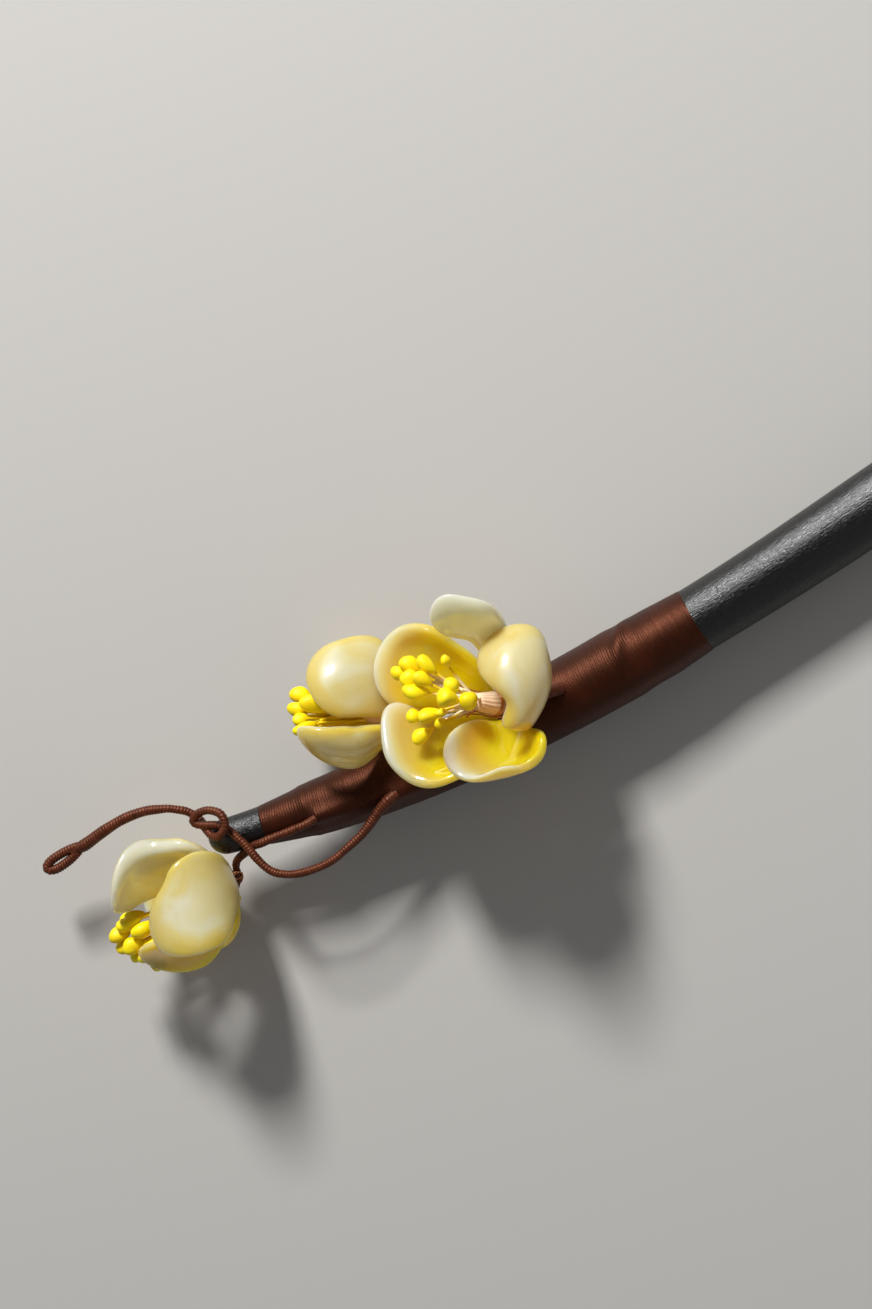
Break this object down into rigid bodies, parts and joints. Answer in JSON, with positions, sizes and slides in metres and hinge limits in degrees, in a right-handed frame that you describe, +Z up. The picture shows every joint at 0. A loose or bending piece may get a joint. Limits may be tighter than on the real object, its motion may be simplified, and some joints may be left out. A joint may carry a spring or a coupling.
{
  "type": "wooden hair stick with glass blossoms",
  "caption": "Gently curved dark wooden hair stick wound with silk thread, carrying milky glass blossoms with yellow stamens and a curling wire tendril.",
  "frame": {"origin": "middle of the box round the piece, on the surface it lies on", "axes": "+X along the stick toward its bare end, +Z up; the blossoms are at -X and open toward -X and +Z"},
  "size_m": [0.1952, 0.0266, 0.0257],
  "materials": {
    "ebony": "polished, near-black, fine grain",
    "silk_thread": "tightly wound brown silk with a soft sheen",
    "bundle_thread": "pinkish cream threads bound in a bundle",
    "copper_wire": "fine bright copper wire",
    "stamen": "matt bright yellow heads on cream threads",
    "milk_glass": "glossy milky translucent glass, golden toward the root"
  },
  "bodies": {
    "root": {"stick": "ebony", "thread_wrap": "silk_thread", "tip_stem": "silk_thread", "tendril": "silk_thread", "front_core": "bundle_thread", "front_wire": "copper_wire", "front_stamens": "stamen", "front_petal_top": "milk_glass", "front_petal_near": "milk_glass", "front_petal_low": "milk_glass", "front_petal_left": "milk_glass", "front_petal_back": "milk_glass", "back_core": "bundle_thread", "back_wire": "copper_wire", "back_stamens": "stamen", "back_petal_top": "milk_glass", "back_petal_low": "milk_glass", "back_petal_far": "milk_glass", "back_petal_rear": "milk_glass", "back_petal_high": "milk_glass", "tip_core": "bundle_thread", "tip_wire": "copper_wire", "tip_stamens": "stamen", "tip_petal_near": "milk_glass", "tip_petal_cup": "milk_glass", "tip_petal_low": "milk_glass", "tip_petal_far": "milk_glass", "tip_petal_rear": "milk_glass"}
  },
  "joints": []
}
